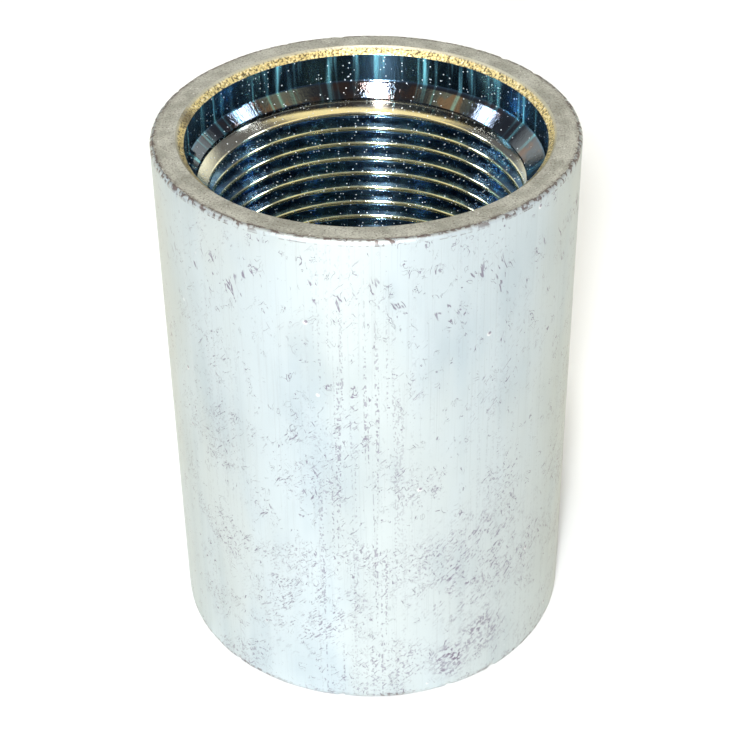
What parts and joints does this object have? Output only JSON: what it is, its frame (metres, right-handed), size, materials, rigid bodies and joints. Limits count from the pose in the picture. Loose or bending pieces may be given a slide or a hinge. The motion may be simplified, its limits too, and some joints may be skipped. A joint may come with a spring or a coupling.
{
  "type": "pipe coupling",
  "caption": "Straight steel pipe coupling: a zinc-plated sleeve with a plain recess and a tapered internal pipe thread in each end, for joining two pipes end to end.",
  "frame": {"origin": "centre of the lower end face, on the axis", "axes": "+Z along the axis, from the lower end face to the upper one; the two ends are alike"},
  "size_m": [0.0522, 0.0522, 0.0705],
  "materials": {
    "zinc_plated_steel": "bright zinc plate: matte, pitted tube outside, bright machined recess and threads inside"
  },
  "bodies": {
    "root": {"coupling_body": "zinc_plated_steel"}
  },
  "joints": []
}
